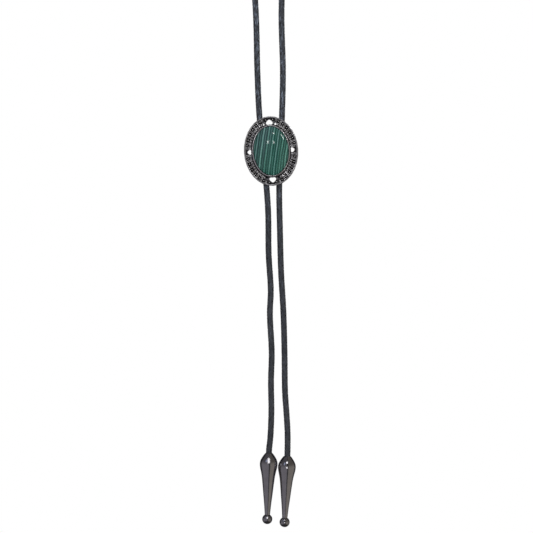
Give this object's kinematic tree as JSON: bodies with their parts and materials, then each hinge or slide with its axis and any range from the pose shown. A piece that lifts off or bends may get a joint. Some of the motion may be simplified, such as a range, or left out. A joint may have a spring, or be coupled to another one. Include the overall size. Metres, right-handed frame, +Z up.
{
  "type": "bolo tie",
  "caption": "Hanging bolo tie: braided leather cord in a neck loop, oval cast slide with a domed banded stone and pierced beaded border, long metal tips ending in a ball.",
  "frame": {"origin": "under the top of the neck loop, where the tie hangs", "axes": "+Z up along the hanging tie, -Y the front with the stone, +X to the right as seen from the front"},
  "size_m": [0.0393, 0.0167, 0.4894],
  "materials": {
    "leather": "black braided leather, lightly waxed",
    "antiqued_metal": "cast alloy with dark antiqued recesses and rubbed highlights",
    "banded_stone": "polished green stone with near-vertical bands",
    "clip_steel": "plain bent sheet steel",
    "dark_plating": "polished dark grey plating"
  },
  "bodies": {
    "root": {"cord": "leather", "concho_frame": "antiqued_metal", "stone": "banded_stone", "cord_clip": "clip_steel", "tip_left": "dark_plating", "tip_right": "dark_plating"}
  },
  "joints": []
}
